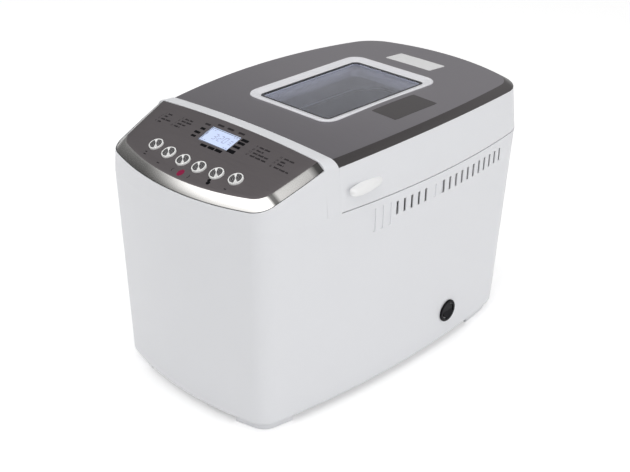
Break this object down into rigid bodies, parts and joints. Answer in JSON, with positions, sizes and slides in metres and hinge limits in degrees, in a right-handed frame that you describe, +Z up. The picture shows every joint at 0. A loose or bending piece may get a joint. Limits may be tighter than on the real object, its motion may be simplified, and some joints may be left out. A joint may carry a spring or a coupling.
{
  "type": "bread machine",
  "caption": "Upright bread machine with a rear-hinged window lid, sloping button panel with a display, lift-out pan and belt-driven kneading paddles.",
  "frame": {"origin": "on the table, below the middle of the parting line's outline", "axes": "+Z up, the control panel and the front at -Y, the vents beside the mains switch on the +X side, the lid's hinges at +Y"},
  "size_m": [0.2534, 0.3847, 0.2547],
  "materials": {
    "white_plastic": "satin moulded housing plastic",
    "grey_plastic": "matt moulded plastic",
    "brushed_cover": "brushed, dark grey",
    "zinc_steel": "plain zinc-coated sheet and bar",
    "display_window": "clear",
    "display": "pale display",
    "board": "green circuit board",
    "chamber_steel": "plain sheet",
    "element_steel": "dark sheathed tube",
    "pan_coating": "dark non-stick coating",
    "handle_wire": "polished wire",
    "shaft_steel": "turned",
    "pulley_plastic": "moulded",
    "belt_rubber": "matt",
    "motor_can": "satin",
    "glass": "clear tempered",
    "gasket_rubber": "matt",
    "black_plastic": "glossy black"
  },
  "bodies": {
    "housing": {"base_shell": "white_plastic", "base_plate": "grey_plastic", "feet": "white_plastic", "base_screws": "zinc_steel", "control_panel": "brushed_cover", "lcd_window": "display_window", "lcd_module": "display", "control_board": "board", "board_screws": "zinc_steel", "power_board": "board", "board_posts": "grey_plastic", "chamber": "chamber_steel", "pan_seat": "zinc_steel", "pan_clips": "zinc_steel", "heating_element": "element_steel", "element_supports": "zinc_steel", "temperature_sensor": "zinc_steel", "bearings": "shaft_steel", "bread_pan": "pan_coating", "pan_bushings": "shaft_steel", "belt": "belt_rubber", "motor": "motor_can", "motor_bracket": "zinc_steel", "hinge_pins": "shaft_steel", "switch_bezel": "black_plastic"},
    "lid": {"lid_shell": "white_plastic", "lid_plate": "brushed_cover", "lid_grips": "white_plastic", "lid_liner": "chamber_steel", "window_frame": "white_plastic", "window_glass": "glass", "window_gasket": "gasket_rubber"},
    "drive_front": {"pulley_front": "pulley_plastic", "drive_shaft_front": "shaft_steel", "pan_shaft_front": "shaft_steel", "paddle_front": "pan_coating"},
    "drive_rear": {"pulley_rear": "pulley_plastic", "drive_shaft_rear": "shaft_steel", "pan_shaft_rear": "shaft_steel", "paddle_rear": "pan_coating"},
    "motor_rotor": {"motor_shaft": "shaft_steel", "motor_pulley": "pulley_plastic"},
    "handle": {"pan_handle": "handle_wire"},
    "rocker": {"switch_rocker": "black_plastic"},
    "button_1": {"button_1": "white_plastic"},
    "button_2": {"button_2": "white_plastic"},
    "button_3": {"button_3": "white_plastic"},
    "button_4": {"button_4": "white_plastic"},
    "button_5": {"button_5": "white_plastic"},
    "button_6": {"button_6": "white_plastic"}
  },
  "joints": [
    {"name": "lid_hinge", "type": "hinge", "parent": "housing", "child": "lid", "pos_m": [0, 0.1906, 0.2004], "axis": [-1, 0, 0], "range_deg": [0, 98]},
    {"name": "drive_front_spin", "type": "hinge", "parent": "housing", "child": "drive_front", "pos_m": [0, -0.023, 0.02], "axis": [0, 0, 1], "continuous": true},
    {"name": "drive_rear_spin", "type": "hinge", "parent": "housing", "child": "drive_rear", "pos_m": [0, 0.085, 0.02], "axis": [0, 0, 1], "continuous": true},
    {"name": "motor_spin", "type": "hinge", "parent": "housing", "child": "motor_rotor", "pos_m": [0, -0.136, 0.02], "axis": [0, 0, 1], "continuous": true},
    {"name": "handle_swing", "type": "hinge", "parent": "housing", "child": "handle", "pos_m": [0, 0.031, 0.172], "axis": [0, -1, 0], "range_deg": [0, 153.5]},
    {"name": "rocker_tilt", "type": "hinge", "parent": "housing", "child": "rocker", "pos_m": [0.11106, 0.05536, 0.03959], "axis": [-0.0705, 0.9975, 0], "range_deg": [0, 16]},
    {"name": "button_1_press", "type": "slide", "parent": "housing", "child": "button_1", "axis": [0, 0.342, -0.9397], "range_m": [0, 0.001], "stiffness_N_per_m": 600, "springref_m": -0.0004},
    {"name": "button_2_press", "type": "slide", "parent": "housing", "child": "button_2", "axis": [0, 0.342, -0.9397], "range_m": [0, 0.001], "stiffness_N_per_m": 600, "springref_m": -0.0004},
    {"name": "button_3_press", "type": "slide", "parent": "housing", "child": "button_3", "axis": [0, 0.342, -0.9397], "range_m": [0, 0.001], "stiffness_N_per_m": 600, "springref_m": -0.0004},
    {"name": "button_4_press", "type": "slide", "parent": "housing", "child": "button_4", "axis": [0, 0.342, -0.9397], "range_m": [0, 0.001], "stiffness_N_per_m": 600, "springref_m": -0.0004},
    {"name": "button_5_press", "type": "slide", "parent": "housing", "child": "button_5", "axis": [0, 0.342, -0.9397], "range_m": [0, 0.001], "stiffness_N_per_m": 600, "springref_m": -0.0004},
    {"name": "button_6_press", "type": "slide", "parent": "housing", "child": "button_6", "axis": [0, 0.342, -0.9397], "range_m": [0, 0.001], "stiffness_N_per_m": 600, "springref_m": -0.0004}
  ],
  "couplings": [
    {"joint": "drive_rear_spin", "follows": "drive_front_spin", "ratio": 1},
    {"joint": "motor_spin", "follows": "drive_front_spin", "ratio": 3.6786}
  ]
}
